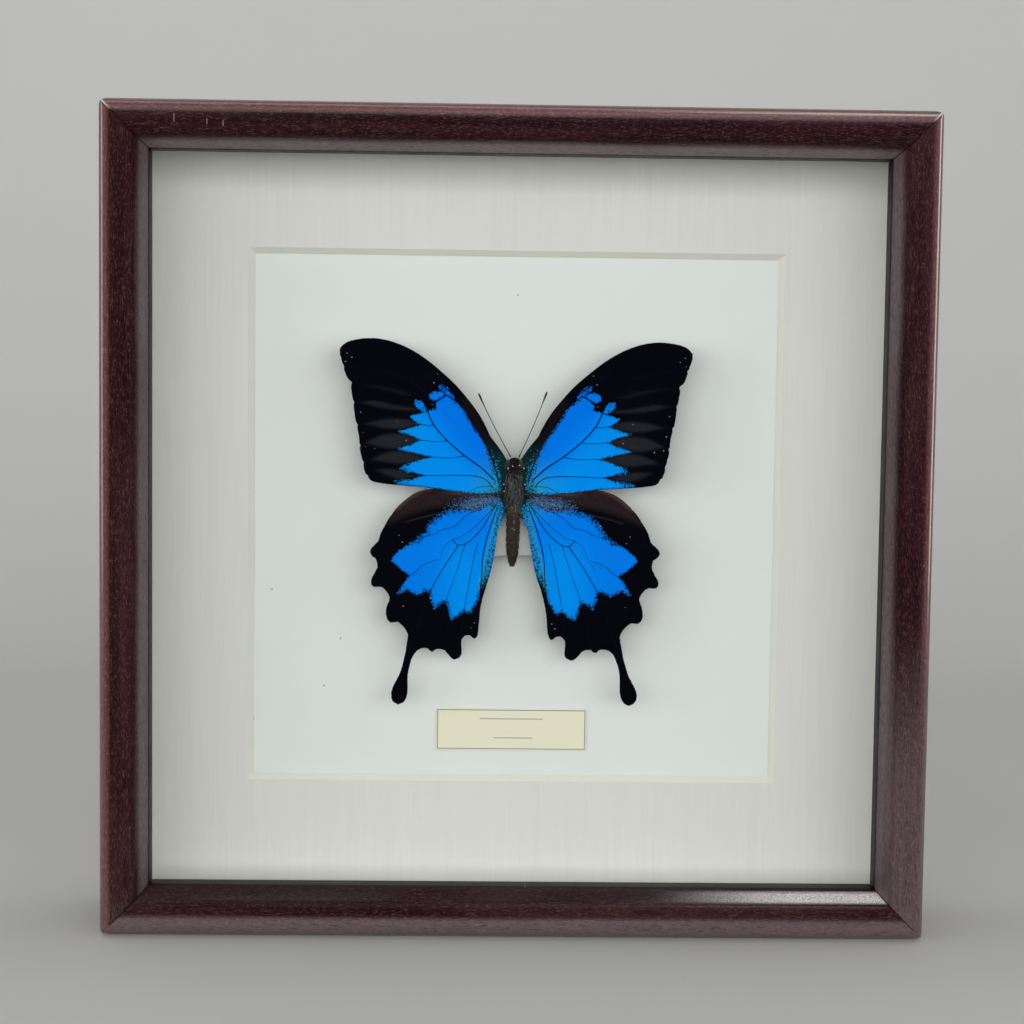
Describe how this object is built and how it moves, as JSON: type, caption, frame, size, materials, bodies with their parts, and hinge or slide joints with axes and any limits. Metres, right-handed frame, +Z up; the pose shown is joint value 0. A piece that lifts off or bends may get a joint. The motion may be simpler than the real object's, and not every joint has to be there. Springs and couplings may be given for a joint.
{
  "type": "framed butterfly specimen",
  "caption": "Blue and black swallowtail butterfly, set with open wings behind glass, in a deep square dark wood frame with an off-white window mat and a blank label.",
  "frame": {"origin": "under the middle of the bottom rail, at the level that the frame stands on, halfway between the moulding's crest and the hanger's nail heads", "axes": "+X to the viewer's right along the width, +Y from the front to the back, +Z up"},
  "size_m": [0.25, 0.048, 0.25],
  "materials": {
    "stained_wood": "dark red-brown mahogany stain under semi-gloss lacquer, fine short pale grain flecks",
    "clear_glass": "clear, polished",
    "spacer_card": "matt off-white card",
    "mat_card": "matt off-white with a fine upright streak and a cream bevel",
    "mount_card": "smooth matt cool white",
    "label_paper": "matt cream paper with a fine dark border",
    "white_foam": "matt white foam",
    "insect_body": "dark brown dry insect body with fine hair",
    "wing": "scaled wing membrane, metallic blue fields with velvety black borders and veins",
    "antenna": "black, slightly glossy",
    "hardboard": "brown pressed fibre board",
    "zinc_steel": "zinc-plated, dull"
  },
  "bodies": {
    "root": {"rail_bottom": "stained_wood", "rail_left": "stained_wood", "rail_top": "stained_wood", "rail_right": "stained_wood", "glass_pane": "clear_glass", "spacer_bottom": "spacer_card", "spacer_left": "spacer_card", "spacer_top": "spacer_card", "spacer_right": "spacer_card", "window_mat": "mat_card", "mount_board": "mount_card", "label_card": "label_paper", "support_block": "white_foam", "butterfly_body": "insect_body", "forewing_left": "wing", "forewing_right": "wing", "hindwing_left": "wing", "hindwing_right": "wing", "antenna_left": "antenna", "antenna_right": "antenna", "back_panel": "hardboard", "retainer_bottom_1": "zinc_steel", "retainer_bottom_2": "zinc_steel", "retainer_left_1": "zinc_steel", "retainer_left_2": "zinc_steel", "retainer_top_1": "zinc_steel", "retainer_top_2": "zinc_steel", "retainer_right_1": "zinc_steel", "retainer_right_2": "zinc_steel", "hanger_plate": "zinc_steel", "nail_left": "zinc_steel", "nail_right": "zinc_steel"}
  },
  "joints": []
}
